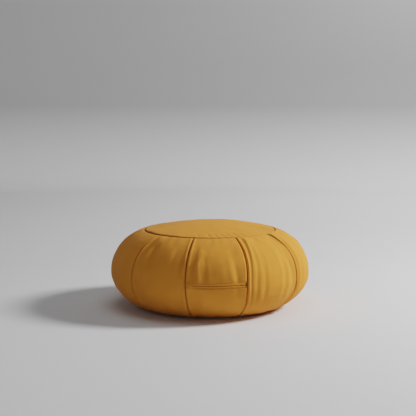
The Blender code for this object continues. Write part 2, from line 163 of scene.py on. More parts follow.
OUTLINE = Outline()
print("a side panel is", round(1000 * OUTLINE.length), "mm long from seam to seam")

# %% [markdown]
# ## Soft steps, soft noise and rolls
#
# A few small tools shape all the cloth. `smooth_step` turns an effect on without a corner, and
# `bell` keeps it to one place. `read_between` reads a coarse table smoothly, which makes both a soft
# noise, from a table of random numbers, and a fine surface, from a coarse simulation. `roll_depth`
# is the quarter round with which stuffed cloth turns into a seam. `carry_round` takes a radius and a
# height round the cushion's axis.

# %% Make the shared tools
def smooth_step(low, high, value):
    """0 below low, 1 above high, and 3s^2 - 2s^3 of the share s between them."""
    share = np.clip((value - low) / (high - low), 0, 1)
    return share * share * (3 - 2 * share)


def bell(value, middle, half_width, power=2):
    """exp(-|x|^power), with x the distance from the middle in half widths."""
    return np.exp(-((value - middle) / half_width) ** power)


def carry_round(radius, turn, height):
    """Points (r sin a, -r cos a, z) for a radius r, a turn a from -Y towards +X, and a height z."""
    return np.stack(np.broadcast_arrays(radius * np.sin(turn), -radius * np.cos(turn), height),
                    axis=-1)


def full_turn(columns):
    """A row of turns once round, the last of them equal to the first."""
    turn = np.radians(np.linspace(0, 360, columns + 1))[None, :]
    turn[0, -1] = 0
    return turn


def roll_depth(distance, width, depth=SEAM_ROLL):
    """Depth of a quarter ellipse, width by depth, at a distance from the edge it turns in at."""
    turned = np.clip(1 - distance / width, 0, 1)
    return depth * (1 - np.sqrt(1 - turned ** 2))


def shade_line(distance, width, shade):
    """Painted shade, as strong as the given shade at an edge, and gone a width away from it."""
    return shade * (1 - smooth_step(0, width, distance))


def spline_weights(share):
    """The four weights of a cubic B-spline, for a share of the way between the middle two."""
    return ((1 - share) ** 3 / 6, (3 * share ** 3 - 6 * share ** 2 + 4) / 6,
            (3 * share + 3 * share ** 2 - 3 * share ** 3 + 1) / 6, share ** 3 / 6)


def read_between(table, row, column):
    """A table's B-spline surface at (row, column); the columns run round, and the rows stop."""
    row, column = np.broadcast_arrays(row, column)
    first_row = np.floor(row).astype(int)
    first_column = np.floor(column).astype(int)
    total = np.zeros(row.shape)
    for down, row_weight in enumerate(spline_weights(row - first_row), start=-1):
        rows = np.clip(first_row + down, 0, table.shape[0] - 1)
        for right, column_weight in enumerate(spline_weights(column - first_column), start=-1):
            columns = (first_column + right) % table.shape[1]
            total += row_weight * column_weight * table[rows, columns]
    return total


def soft_noise(seed, cell, down, right):
    """Random heights, about -1 to 1, on a lattice with a cell of that size, read smoothly."""
    table = np.random.default_rng(seed).uniform(-2, 2, (96, 96))
    return read_between(table, down / cell + 8, right / cell + 8)


print("roll at its edge:", 1000 * roll_depth(0, SEAM_ROLL), "mm deep")

# %% [markdown]
# ## From a grid of points to a mesh
#
# Every piece here is a grid of points worked out as one array. Where a grid closes, at a pole, round
# a disc or along the inner edge of a wedge, its border points fall on each other. So the mesh maker
# first finds equal points and gives them one number, then turns each cell into a quad, or into a
# triangle where two of its corners became one. UVs stay with the corners, so a seam in the cloth's
# pattern is allowed to open there.

# %% Make the mesh maker
def weld(points):
    """Numbers of the distinct points, and where each was first met (a tenth of a micron apart)."""
    keys = np.round(points * 1e7).astype(np.int64)
    _, first, numbers = np.unique(keys, axis=0, return_index=True, return_inverse=True)
    return first, numbers.reshape(-1)


def cells(shape, offset):
    """Corner numbers of a grid's cells, anticlockwise for rows that run down and columns right."""
    numbers = np.arange(shape[0] * shape[1]).reshape(shape) + offset
    return np.stack([numbers[:-1, :-1], numbers[1:, :-1], numbers[1:, 1:], numbers[:-1, 1:]],
                    axis=-1).reshape(-1, 4)


def grid_piece(name, patches, **attributes):
    """An object from (points, uv) patches; an attribute holds a value for each of the points."""
    points = np.concatenate([grid.reshape(-1, 3) for grid, _ in patches])
    uvs = np.concatenate([uv.reshape(-1, 2) for _, uv in patches])
    offsets = np.cumsum([0] + [grid[..., 0].size for grid, _ in patches])
    corners = np.concatenate([cells(grid.shape[:2], offset)
                              for (grid, _), offset in zip(patches, offsets)])
    first, numbers = weld(points)
    welded = numbers[corners]
    same = welded == np.roll(welded, -1, axis=1)
    quads = corners[~same.any(axis=1)]
    folded = same.sum(axis=1) == 1
    kept = np.argsort(same[folded], axis=1, kind="stable")[:, :3]
    triangles = np.take_along_axis(corners[folded], np.sort(kept, axis=1), axis=1)
    loops = np.concatenate([quads.reshape(-1), triangles.reshape(-1)])
    starts = np.concatenate([4 * np.arange(len(quads)),
                             4 * len(quads) + 3 * np.arange(len(triangles))])
    mesh = bpy.data.meshes.new(name)
    mesh.vertices.add(len(first))
    mesh.vertices.foreach_set("co", points[first].reshape(-1))
    mesh.loops.add(len(loops))
    mesh.loops.foreach_set("vertex_index", numbers[loops])
    mesh.polygons.add(len(starts))
    mesh.polygons.foreach_set("loop_start", starts)
    mesh.polygons.foreach_set("use_smooth", np.ones(len(starts), bool))
    mesh.uv_layers.new(name="cloth").uv.foreach_set("vector", uvs[loops].reshape(-1))
    for attribute, values in attributes.items():
        layer = mesh.attributes.new(attribute, "FLOAT", "POINT")
        layer.data.foreach_set("value", values.reshape(-1)[first])
    mesh.update(calc_edges=True)
    mesh.validate()
    piece = bpy.data.objects.new(name, mesh)
    bpy.context.scene.collection.objects.link(piece)
    return piece


def triangle_count(piece):
    return sum(len(polygon.vertices) - 2 for polygon in piece.data.polygons)


# %% [markdown]
# ## The filling pushes the cloth out
#
# A filled panel is not drawn but found: the hulls press outwards, the seams hold, and the cloth
# between them takes up the load, fuller in the middle and drawn in towards the stitches. So a coarse
# skin of the whole cushion, pinned along its seams and its base, is blown up gently with Blender's
# Cloth. Its cut is a little larger than its seams, as real cutting is, which lets it ripple. The
# result is read back as one table: how far each point moved out, by length down the side and by
# azimuth. The fine panels below read that table, so no Cloth stays on any of them.

# %% Blow up a coarse skin between its seams
SKIN_COLUMNS = 22            # columns of the coarse skin in each panel
SKIN_ROWS = 44               # rows down its side
SKIN_TOP_ROWS = 24
SKIN_BASE_ROWS = 15
SWELL_FRAMES = 20
SWELL_CAP = 0.010
RIPPLE_GAIN = 0.9
UNEVEN_ROWS = (8, -12)       # the first and the last rows, whose fullness depends on the end seams


def skin_profile():
    """(radius, height) rows: across the top, down the side, less the seams' dip, and in below."""
    top = np.linspace(0, TOP_SEAM_RADIUS, SKIN_TOP_ROWS + 1)[:-1]
    crown = TOP_SEAM_HEIGHT + TOP_CROWN * (1 - (top / TOP_SEAM_RADIUS) ** 2)
    along = np.linspace(0, OUTLINE.length, SKIN_ROWS)
    dip = SEAM_DIP * np.sin(math.pi * along / OUTLINE.length)
    out, up = OUTLINE.normal(along)
    base = np.linspace(BASE_SEAM_RADIUS, 0, SKIN_BASE_ROWS + 1)[1:]
    return np.concatenate([np.stack([top, crown], axis=1),
                           np.stack([OUTLINE.radius(along) - dip * out,
                                     OUTLINE.height(along) - dip * up], axis=1),
                           np.stack([base, 0 * base], axis=1)]), len(top)


def swell_skin():
    """Outward travel, in metres, of each row and column of the skin's side."""
    profile, first_side_row = skin_profile()
    steps = np.linspace(0, 1, SKIN_COLUMNS, endpoint=False)
    azimuths = np.radians(np.concatenate([low + steps * (high - low) for low, high in PANEL_SEAMS]))
    turned = np.append(azimuths, azimuths[0] + 2 * math.pi)
    points = carry_round(profile[:, :1], turned, profile[:, 1:])
    rows, columns = np.indices(points.shape[:2])
    last_side_row = first_side_row + SKIN_ROWS - 1
    on_side = (rows >= first_side_row) & (rows <= last_side_row)
    pinned = (on_side & (columns % SKIN_COLUMNS == 0)) | (rows == first_side_row)
    pinned |= (rows >= last_side_row - 3) | (rows == 0)
    skin = grid_piece("swelling_skin", [(points, points[..., :2])],
                      pinned=pinned.astype(float), row=rows.astype(float),
                      column=columns.astype(float))
    mesh = skin.data
    count = len(mesh.vertices)
    read = {key: np.empty(count) for key in ("pinned", "row", "column")}
    for key, values in read.items():
        mesh.attributes[key].data.foreach_get("value", values)
    group = skin.vertex_groups.new(name="seams")
    group.add(np.flatnonzero(read["pinned"] > 0.5).tolist(), 1.0, "REPLACE")
    cloth = skin.modifiers.new("filling", "CLOTH")
    cloth.settings.vertex_group_mass = "seams"
    cloth.settings.use_pressure = True
    cloth.settings.uniform_pressure_force = 4
    cloth.settings.shrink_min = -0.012
    cloth.settings.tension_stiffness = 30
    cloth.settings.bending_stiffness = 2
    cloth.settings.effector_weights.gravity = 0
    cloth.collision_settings.use_collision = False
    start = np.empty(3 * count)
    mesh.vertices.foreach_get("co", start)
    for step in range(1, SWELL_FRAMES + 1):
        bpy.context.scene.frame_set(step)
    swollen = skin.evaluated_get(bpy.context.evaluated_depsgraph_get()).data
    end = np.empty(3 * count)
    swollen.vertices.foreach_get("co", end)
    bpy.context.scene.frame_set(1)
    moved = (end - start).reshape(-1, 3)
    place = start.reshape(-1, 3)
    away = np.hypot(place[:, 0], place[:, 1]) + 1e-9
    out_moved = (moved[:, 0] * place[:, 0] + moved[:, 1] * place[:, 1]) / away
    table = np.zeros((2,) + points.shape[:2])
    row, column = read["row"].astype(int), read["column"].astype(int)
    table[:, row, column] = out_moved, moved[:, 2]
    bpy.data.objects.remove(skin, do_unlink=True)
    out, up = OUTLINE.normal(np.linspace(0, OUTLINE.length, SKIN_ROWS))
    side = table[:, first_side_row:last_side_row + 1, :-1]
    return np.clip(side[0] * out[:, None] + side[1] * up[:, None], -SWELL_CAP, SWELL_CAP)


def blurred(table):
    """Each entry of a table averaged with its neighbours, weighted 1, 2, 1 both ways."""
    around = (np.roll(table, 1, axis=1) + 2 * table + np.roll(table, -1, axis=1)) / 4
    above = np.concatenate([around[:1], around[:-1]])
    below = np.concatenate([around[1:], around[-1:]])
    return (above + 2 * around + below) / 4


swelling = blurred(swell_skin())
by_panel = swelling.reshape(SKIN_ROWS, len(PANEL_SEAMS), SKIN_COLUMNS)
common = by_panel.mean(axis=1)
fullness = common[slice(*UNEVEN_ROWS)].mean(axis=0)
fullness /= fullness.max()
swelling = (by_panel - common[:, None]).reshape(swelling.shape)
fullness = fullness[None, :]
print("fullness across a panel:", np.round(fullness[0, ::2], 2))
print("ripples up to", round(1000 * float(np.abs(swelling).max()), 2), "mm")

# %% [markdown]
# ## Folds
#
# Cloth that was cut a little too long for what fills it hangs in soft ridges and troughs down the
# side. Each is a line across its panel with a rounded section, and dies away at both ends. The large
# ones are in the packed solids too. The last column says how keen the fold is: 0 is a soft wave, and
# 1 is a crease.

# %% List the folds and add them up
# panel number: across_top, across_low, bow, then in mm height_top, height_low, half_width and rise,
# and last the keenness
FOLDS = {
    0: (
        (-0.67, -0.79, -0.07, 114, 70, 5.0, -2.6, 0.0),
        (-0.64, -0.49, -0.08, 120, 66, 5.2, 2.6, 0.0),
        (-0.45, -0.33, 0.03, 115, 64, 4.8, -1.8, 0.0),
        (-0.57, -0.26, 0.06, 124, 65, 5.7, 1.5, 0.0),
        (0.23, 0.21, -0.01, 103, 67, 8.5, 0.5, 0.0),
        (0.44, 0.57, -0.07, 115, 73, 6.1, 0.8, 0.0),
        (0.61, 0.70, 0.00, 102, 53, 5.2, -1.0, 0.0),
        (0.80, 0.80, 0.12, 135, 39, 7.8, 1.7, 0.0),
        (0.65, 0.72, 0.02, 130, 79, 6.8, 0.7, 0.0),
    ),
    1: (
        (-0.86, -0.85, -0.08, 131, 40, 2.0, 0.4, 0.0),
        (-0.68, -0.76, -0.12, 138, 25, 2.7, 0.8, 0.0),
        (-0.63, -0.69, -0.01, 127, 28, 4.5, -1.8, 0.0),
        (-0.67, -0.68, -0.03, 138, 20, 8.5, 2.6, 0.0),
        (-0.40, -0.44, 0.01, 96, 32, 3.5, -0.6, 0.0),
        (-0.24, -0.26, -0.01, 112, 27, 3.1, 0.3, 0.0),
        (0.22, 0.21, 0.03, 121, 44, 3.7, 0.5, 0.0),
        (0.52, 0.39, 0.00, 130, 32, 5.9, -0.9, 0.0),
        (0.50, 0.47, 0.07, 106, 43, 6.6, 1.2, 0.0),
        (0.71, 0.91, -0.03, 98, 48, 6.7, -1.5, 0.0),
        (0.85, 0.83, -0.02, 122, 57, 7.9, 2.6, 0.0),
        (-0.78, -0.83, -0.04, 140, 32, 3.3, -1.0, 0.8),
        (-0.96, -0.93, -0.01, 128, 28, 2.0, 1.4, 0.0),
    ),
    2: (
        (-0.74, -0.88, 0.01, 130, 32, 3.7, -2.6, 0.0),
        (-0.55, -0.63, 0.00, 97, 56, 2.9, -0.5, 0.0),
        (-0.50, -0.59, 0.04, 120, 58, 3.4, -0.4, 0.0),
        (-0.92, -0.94, -0.01, 128, 62, 1.2, -2.6, 0.0),
        (-0.42, -0.40, 0.00, 112, 42, 3.2, 0.6, 0.0),
        (-0.18, -0.20, 0.00, 104, 48, 3.0, 0.6, 0.0),
        (0.06, 0.02, 0.00, 98, 50, 3.4, 0.6, 0.0),
    ),
    3: (
        (-0.55, -0.60, 0.00, 118, 50, 4.0, 0.8, 0.0),
        (0.62, 0.58, 0.00, 124, 66, 3.6, -0.7, 0.2),
    ),
    4: (
        (-0.30, -0.34, 0.00, 110, 44, 4.0, 0.7, 0.0),
        (0.70, 0.74, 0.00, 126, 60, 3.4, 0.8, 0.0),
    ),
    5: (
        (-0.72, -0.76, 0.00, 128, 52, 3.4, 0.9, 0.0),
        (0.36, 0.30, 0.00, 104, 40, 4.0, -0.6, 0.2),
    ),
    6: (
        (-0.64, -0.58, 0.00, 120, 58, 3.6, -0.7, 0.2),
        (0.58, 0.66, 0.00, 116, 46, 3.8, 0.9, 0.0),
    ),
    7: (
        (-0.46, -0.50, 0.00, 122, 64, 4.0, 0.7, 0.0),
        (0.74, 0.78, 0.00, 128, 70, 3.2, -0.7, 0.2),
    ),
    8: (
        (0.34, 0.45, 0.00, 108, 66, 3.6, 0.7, 0.0),
        (0.56, 0.70, 0.00, 110, 60, 3.0, 0.7, 0.0),
    ),
    9: (
        (-0.72, -0.92, -0.04, 126, 99, 4.3, -1.0, 0.0),
        (-0.56, -0.60, 0.03, 136, 102, 5.8, 1.5, 0.0),
        (-0.53, -0.34, 0.02, 130, 89, 7.3, -2.5, 0.0),
        (0.55, 0.61, -0.06, 125, 83, 5.1, -0.8, 0.0),
        (0.82, 0.78, 0.00, 109, 85, 3.4, -2.6, 0.0),
    ),
}
FOLD_FADE = 0.016
FOLD_STRAY = 0.25
# Keen troughs get a line of painted shade, this strong and this wide.
PAINTED_FOLD_SHADE = 0.6
PAINTED_FOLD_SHADE_WIDTH = 0.25               # in half widths of the fold


def fold_middle(fold, height):
    """Where a fold lies across its panel: a slant between its ends, bowed out half way down."""
    across_top, across_low, bow, height_top, height_low = fold[:5]
    share = np.clip((height_top / 1000 - height) / (height_top - height_low) * 1000,
                    -FOLD_STRAY, 1 + FOLD_STRAY)
    return across_top + share * (across_low - across_top) + 4 * bow * share * (1 - share)


def fold_section(fold, across, height, half_arc):
    """Distance from a fold's middle line, in half widths, and the fold's strength, 0 to 1."""
    height_top, height_low, half_width = [size / 1000 for size in fold[3:6]]
    x = (across - fold_middle(fold, height)) * half_arc / half_width
    return x, (smooth_step(height_top + FOLD_FADE / 2, height_top - FOLD_FADE / 2, height)
               * smooth_step(height_low - FOLD_FADE / 2, height_low + FOLD_FADE / 2, height))


def fold_rise(folds, across, height, half_arc):
    """Every fold's rise: exp(-x^2) where soft, exp(-1.5|x|) where keen, x in half widths."""
    total = np.zeros(np.broadcast(across, height).shape)
    for fold in folds:
        x, strength = fold_section(fold, across, height, half_arc)
        rise, keenness = fold[-2:]
        keen = np.exp(-1.5 * (np.sqrt(x ** 2 + 0.04) - 0.2))
        total += rise / 1000 * strength * ((1 - keenness) * bell(x, 0, 1) + keenness * keen)
    return total


def painted_fold_shade(folds, across, height, half_arc):
    """The line of shade at the bottom of every keen trough."""
    total = np.zeros(np.broadcast(across, height).shape)
    for fold in folds:
        x, strength = fold_section(fold, across, height, half_arc)
        rise, keenness = fold[-2:]
        total += PAINTED_FOLD_SHADE * keenness * (rise < 0) * strength * bell(x, 0, PAINTED_FOLD_SHADE_WIDTH)
    return total


every_rise = [abs(fold[-2]) for folds in FOLDS.values() for fold in folds]
print(len(every_rise), "folds, the deepest", max(every_rise), "mm")

# %% [markdown]
# ## The seams
#
# No two seams look alike. Some are pulled tight and lie deep and dark between two crisp lips, and
# some lie nearly flat. So each side seam has its row in a table: how wide its roll is, and how wide
# and dark the painted shade along it is, above and below the widest height. The ring seam round the
# top disc changes as it goes round, so its table is read by azimuth. Beside every side seam the seam
# allowances inside hold the cloth out in a narrow lip.

# %% List the seams
# azimuth, dent, left_roll, right_roll, left_lip, right_lip, left_shade, right_shade, above, below
SIDE_SEAMS = (
    (-48.7, 0.0, 0.0024, 0.0024, 0.0005, 0.0009, 0.0024, 0.0022, 0.60, 0.35),
    (-13.4, 0.0, 0.0026, 0.0026, 0.0006, 0.0009, 0.0026, 0.0024, 0.50, 0.16),
    (21.2, -0.0030, 0.0024, 0.0017, 0.0006, 0.0012, 0.0030, 0.0014, 0.55, 0.24),
    (57.2, -0.0012, 0.0040, 0.0026, 0.0008, 0.0016, 0.0090, 0.0044, 1.00, 0.28),
)
PLAIN_SEAM = (0.0, 0.0024, 0.0024, 0.0005, 0.0009, 0.0024, 0.0024, 0.70, 0.60)
DENT_HEIGHT = 0.068
DENT_HALF_HEIGHT = 0.028
# azimuth, roll_width, shade_width, shade
RING_SEAM = (
    (-180.0, 0.0028, 0.0022, 0.60),
    (-100.0, 0.0050, 0.0040, 1.00),
    (-58.0, 0.0050, 0.0042, 1.00),
    (-40.0, 0.0038, 0.0036, 0.95),
    (-15.0, 0.0030, 0.0032, 0.90),
    (18.0, 0.0026, 0.0028, 0.80),
    (31.0, 0.0012, 0.0012, 0.05),
    (47.0, 0.0012, 0.0012, 0.05),
    (56.0, 0.0014, 0.0016, 0.20),
    (74.0, 0.0014, 0.0016, 0.20),
    (88.0, 0.0024, 0.0028, 0.80),
    (100.0, 0.0024, 0.0030, 0.80),
    (180.0, 0.0028, 0.0022, 0.60),
)
LIP_PLACE = 1.4                     # how far from the seam, and how wide, in widths of its roll
LIP_HALF_WIDTH = 0.8
BASE_SHADE = (0.0020, 0.7)


def apart_azimuth(azimuth, other):
    """How far two azimuths are apart, from -180 to 180 degrees."""
    return (azimuth - other + 180) % 360 - 180


def side_seam(azimuth):
    """The row of a side seam, without its azimuth."""
    return next((row[1:] for row in SIDE_SEAMS if abs(apart_azimuth(row[0], azimuth)) < 0.1),
                PLAIN_SEAM)


def ring_seam(azimuth):
    """Roll width, shade width and shade of the ring seam at an azimuth from -180 to 180."""
    return [np.interp(azimuth, [row[0] for row in RING_SEAM], [row[column] for row in RING_SEAM])
            for column in (1, 2, 3)]


print("side seams with a row of their own:", [row[0] for row in SIDE_SEAMS])

# %% [markdown]
# ## The cloth of a side panel
#
# One function gives every point of a side panel, from its length down the side and its place across
# the panel. It stacks what the last cells made: outline, swelling, folds and the roll into the seam.
# The same function later tells the stitches where the cloth is.

# %% Work out the cloth of a side panel
PANEL_COLUMNS = 112
PANEL_ROWS = 190
FLAT_BY_SEAM = (0.001, 0.008)    # folds begin and are full this far from the discs' seams
FLAT_BY_SIDE = (0.001, 0.004)    # and this far from a side seam
SHADE_FADE = 0.008
WAVE_RISE = 0.00022
WAVE_CELL = 0.009
RIDGE_RISE = 0.0015              # a ridge this high is as pale as the cotton gets


class SidePanel:
    """A side panel: its seams, its folds, and the stretch of the outline that it covers."""

    def __init__(self, name, number, start=0.0, end=None):
        self.name = name
        self.number = number
        self.seams = PANEL_SEAMS[number]
        self.start = start
        self.end = OUTLINE.length if end is None else end
        first, last = [side_seam(azimuth) for azimuth in self.seams]
        self.dents = first[0], last[0]
        self.edges = list(zip(first[2:7:2] + first[7:], last[1:6:2] + last[7:]))
        self.middle = math.radians(sum(self.seams) / 2)
        self.half = math.radians((self.seams[1] - self.seams[0]) / 2)
        self.folds = FOLDS[number]

    def place(self, radius, height, across):
        """World points at a radius and height, half a gap inside the planes of both seams.

        Cloth that would bulge down through the floor lies flat on it.
        """
        height = np.maximum(height, 0)
        turn = self.middle + across * (self.half - np.arcsin(PIECE_GAP / 2 / radius))
        dent = self.dents[0] + (self.dents[1] - self.dents[0]) * (1 + across) / 2
        turn = turn + dent / WIDEST_RADIUS * bell(height, DENT_HEIGHT, DENT_HALF_HEIGHT)
        return carry_round(radius, turn, height)

    def grid(self, rows):
        """Lengths down the panel and places across it, both closer together near the seams."""
        along = self.start + (self.end - self.start) * (eased(rows) + 1) / 2
        return along[:, None], eased(PANEL_COLUMNS)[None, :]

    def swell(self, along, across):
        """How far the filling pushes the cloth out past its seams' dip."""
        row = along / OUTLINE.length * (SKIN_ROWS - 1)
        column = (self.number + (across + 1) / 2) * SKIN_COLUMNS
        dip = SEAM_DIP * np.sin(math.pi * along / OUTLINE.length)
        full = read_between(fullness, 0 * row, column)
        return RIPPLE_GAIN * read_between(swelling, row, column) - dip * (1 - full)

    def ends(self, along, across):
        """Depth, shade, and clearness of folds, along the upper and the lower edge."""
        azimuth = apart_azimuth(math.degrees(self.middle) + across * math.degrees(self.half), 0)
        roll, shade_width, shade = ring_seam(azimuth)
        from_start, from_end = along - self.start, self.end - along
        depth = np.maximum(roll_depth(from_start, roll), roll_depth(from_end, SEAM_ROLL))
        dark = np.maximum(shade_line(from_start, shade_width, shade),
                          shade_line(from_end, *BASE_SHADE))
        clear = smooth_step(*FLAT_BY_SEAM, from_start) * smooth_step(*FLAT_BY_SEAM, from_end)
        return depth, dark, clear

    def cloth(self, along, across):
        """Points, how much painted shade the colour takes at each of them, and how raised the cloth
        is.
        """
        radius, height = OUTLINE.radius(along), OUTLINE.height(along)
        out, up = OUTLINE.normal(along)
        arc = radius * self.half
        from_side = (1 - np.abs(across)) * arc
        roll, lip_rise, shade_width, above, below = [np.where(across < 0, *pair)
                                                     for pair in self.edges]
        shade = below + (above - below) * smooth_step(-SHADE_FADE, SHADE_FADE,
                                                      height - WIDEST_HEIGHT)
        end_depth, end_shade, clear = self.ends(along, across)
        depth = np.minimum(np.hypot(roll_depth(from_side, roll), end_depth), SEAM_ROLL)
        # Painted shade along the seams and ends, and in the keen troughs of the folds.
        fold_shade = painted_fold_shade(self.folds, across, height, arc)
        crease = np.maximum(np.maximum(shade_line(from_side, shade_width, shade), end_shade), fold_shade)
        lip = lip_rise * bell(from_side / roll, LIP_PLACE, LIP_HALF_WIDTH)
        wave = WAVE_RISE * soft_noise(self.number, WAVE_CELL, along, (across + 1) * arc)
        folded = fold_rise(self.folds, across, height, arc) + wave
        raised = (folded * smooth_step(*FLAT_BY_SIDE, from_side) + lip) * clear
        offset = raised + self.swell(along, across) - depth
        points = self.place(radius + offset * out, height + offset * up, across)
        return points, crease, raised / RIDGE_RISE


def eased(count):
    """Places from -1 to 1, 0.45t + 0.55 sin(pi t / 2), which crowd at both ends, in the rolls."""
    t = np.linspace(-1, 1, count)
    return 0.45 * t + 0.55 * np.sin(math.pi * t / 2)


def wedge(panel, face, first_height, last_height, before=(), after=()):
    """A face closed behind by its seams' planes and two level ones, which meet near the axis."""
    rows = np.concatenate([*before, face, *after])
    edge = PIECE_GAP / 2 / math.sin(panel.half)
    heights = np.linspace(first_height, last_height, len(rows))[:, None]
    behind = panel.place(edge, heights, np.zeros((1, 1)))
    middle = np.concatenate([behind, rows, behind], axis=1)
    columns = middle.shape[1]
    top = np.repeat(behind[:1], columns, axis=1)
    bottom = np.repeat(behind[-1:], columns, axis=1)
    return np.concatenate([top, middle, bottom])


def wedge_piece(panel, points, along, across, crease, raised, before=0, after=0):
    """A wedge's object. Its border and pocket rows take full painted shade, and repeat the pattern's
    edge.
    """
    pads = ((1 + before, 1 + after), (1, 1))
    arc = OUTLINE.radius(along) * panel.half
    uv = np.stack([np.pad(across * arc, pads, mode="edge"),
                   np.pad(along + 0 * across, pads, mode="edge")], axis=-1)
    return grid_piece("cloth_" + panel.name, [(points, uv)],
                      crease=np.pad(crease, pads, constant_values=1.0), raised=np.pad(raised, pads))


def make_side_panel(panel):
    along, across = panel.grid(PANEL_ROWS)
    face, crease, raised = panel.cloth(along, across)
    face[0, :, 2] = PANEL_TOP
    face[-1, :, 2] = PANEL_BOTTOM
    points = wedge(panel, face, PANEL_TOP, PANEL_BOTTOM)
    return wedge_piece(panel, points, along, across, crease, raised)


side_pieces = [make_side_panel(SidePanel(f"side_panel_{number}", number))
               for number in range(1, 10)]
print("side panels:", len(side_pieces), "of", triangle_count(side_pieces[0]), "triangles")

# %% [markdown]
# ## The zip panel
#
# The front panel is cut across at its widest height. Both edges are folded under, sewn down to the
# zip's tape with a line of topstitching, and meet over the teeth. The upper edge is the wider one.
# At the left end the lower edge laps up over it in a little leaf, and near the right end the edges
# part just enough for a few teeth to show, before they go into the side seam in a tuck that is sunk
# and painted dark with shade.

# %% Make the two halves of the zip panel
ZIP_HEIGHT = 0.0674
SLIT_GAP = 0.0001
SLIT_ROLL = 0.0009
SLIT_SHADE = (0.0009, 0.40)
PLACKET = (0.0020, 0.0090)        # folds of the panel begin and are full this far above the slit
POCKET_FRONT = 0.0020
POCKET_BACK = 0.0050
POCKET_HALF_HEIGHT = 0.0031
GAPE_MIDDLE = 0.86
GAPE_HALF_WIDTH = 0.13
GAPE_HALF_HEIGHT = 0.0006
GAPE_REACH = 0.003
UPPER_STITCH_LINE = 0.0043        # how far each topstitch line is from the slit
LOWER_STITCH_LINE = 0.0038
STITCH_SINK = 0.0005
STITCH_SINK_WIDTH = 0.0009
UPPER_STITCH_SHADE = 0.15
LOWER_STITCH_SHADE = 0.35
EDGE_PLUMP = 0.0004               # how far the folded edge stands out between stitches and slit
PLUMP_PLACE = (0.55, 0.35)        # middle and half width of that, in shares of the stitch line
STEP_RISE = 0.0004                # how far the panel stands out below its lower line of stitches
STEP_REACH = 0.02
STEP_ENDS = (0.0002, 0.0022)
LEAF_RISE = 0.0050                # how far the lower edge laps over the upper one at its left end
LEAF_BULGE = 0.0034
LEAF_MIDDLE = 0.0040
LEAF_HALF_WIDTH = 0.0026
LEAF_SHADE = (0.0016, 0.6)
LEAF_REACH = 0.010                # how far up the cloth above gives way to the leaf
LEAF_CLEARS = (0.8, 0.006)        # how much of the slit's shade the leaf covers, and how far
LEAF_ENDS = (-0.93, -0.75)        # where, across the panel, the leaf is full and where it ends
# The tuck is sunk and also painted dark with shade.
TUCK_HALF_HEIGHT = 0.0042         # the dark tuck where the zip's right end goes into the seam
TUCK_WIDTH = 0.0034
TUCK_DEPTH = 0.0014
TUCK_CLIMB = 0.0010
ZIP_FLAT_BY_SIDE = (0.0008, 0.0036)
UPPER_ROWS = 110
LOWER_ROWS = 96
SLIT_ALONG = OUTLINE.along_at_height(ZIP_HEIGHT)


class ZipPanel(SidePanel):
    """Half of the zip panel: above the slit where side is 1, and below it where side is -1."""

    def __init__(self, name, side):
        span = (0.0, SLIT_ALONG) if side > 0 else (SLIT_ALONG, OUTLINE.length)
        super().__init__(name, 0, *span)
        self.side = side

    def ends(self, along, across):
        """One edge is a seam, and the other is folded under at the slit."""
        depth, dark, clear = super().ends(along, across)
        above = (SLIT_ALONG - along) * self.side
        on_seam_side = above > (self.end - self.start) / 2
        at_slit = roll_depth(above, SLIT_ROLL, SLIT_ROLL)
        return (np.where(on_seam_side, depth, at_slit),
                np.where(on_seam_side, dark, shade_line(above, *SLIT_SHADE)),
                np.where(on_seam_side, clear, smooth_step(*PLACKET, above)))

    def gape(self, across):
        """How far the folded edge stands off the middle of the slit."""
        reach = np.clip(np.abs(across - GAPE_MIDDLE) / GAPE_HALF_WIDTH, 0, 1)
        return GAPE_HALF_HEIGHT * (1 - smooth_step(0, 1, reach))

    def leaf(self, across):
        """How far the slit climbs at its left end, where the lower edge laps over the upper."""
        return LEAF_RISE * (1 - smooth_step(*LEAF_ENDS, across))

    def outward(self, across):
        """Level arrows out from the axis."""
        return carry_round(1.0, self.middle + across * self.half, 0.0)

    def slit_height(self, across):
        return ZIP_HEIGHT + self.leaf(across) + self.side * (SLIT_GAP / 2 + self.gape(across))

    def cloth(self, along, across):
        """The panel's cloth, sunk along its topstitching, and shifted where the slit strays."""
        points, crease, raised = super().cloth(along, across)
        above = (SLIT_ALONG - along) * self.side
        line = UPPER_STITCH_LINE if self.side > 0 else LOWER_STITCH_LINE
        sunk = bell(above, line, STITCH_SINK_WIDTH)
        from_side = (1 - np.abs(across)) * OUTLINE.radius(along) * self.half
        leaf = self.leaf(across)
        place, half_width = PLUMP_PLACE
        offset = EDGE_PLUMP * bell(above, place * line, half_width * line) - STITCH_SINK * sunk
        if self.side < 0:
            step = smooth_step(*STEP_ENDS, above - line) * np.exp(-above / STEP_REACH)
            bulge = leaf / LEAF_RISE * bell(above, LEAF_MIDDLE, LEAF_HALF_WIDTH)
            offset = offset + STEP_RISE * step + LEAF_BULGE * bulge
        tuck = (across > 0) * bell(from_side, 0, TUCK_WIDTH, 4) * bell(
            OUTLINE.height(along), ZIP_HEIGHT + TUCK_CLIMB, TUCK_HALF_HEIGHT, 4)
        offset = offset * smooth_step(*ZIP_FLAT_BY_SIDE, from_side) - TUCK_DEPTH * tuck
        points = points + offset[..., None] * self.outward(across)
        points[..., 2] += self.side * self.gape(across) * np.exp(-above / GAPE_REACH)
        points[..., 2] += leaf * (np.exp(-above / LEAF_REACH) if self.side > 0 else
                                  bell(above, 0, LEAF_HALF_WIDTH))
        cleared, reach = LEAF_CLEARS
        crease = crease * (1 - cleared * leaf / LEAF_RISE * bell(above, 0, reach))
        # Painted shade along each line of topstitching, in the tuck, and along the edge the leaf laps
        # over.
        for shade in (
            (UPPER_STITCH_SHADE if self.side > 0 else LOWER_STITCH_SHADE) * sunk,
            tuck,
            leaf / LEAF_RISE * shade_line(above, *LEAF_SHADE) * (self.side > 0),
        ):
            crease = np.maximum(crease, shade)
        return points, crease, raised + offset / RIDGE_RISE


def face_radius(across):
    """Radius of the zip panel's smooth face at the slit."""
    return OUTLINE.radius(SLIT_ALONG) - SEAM_DIP * across ** 2


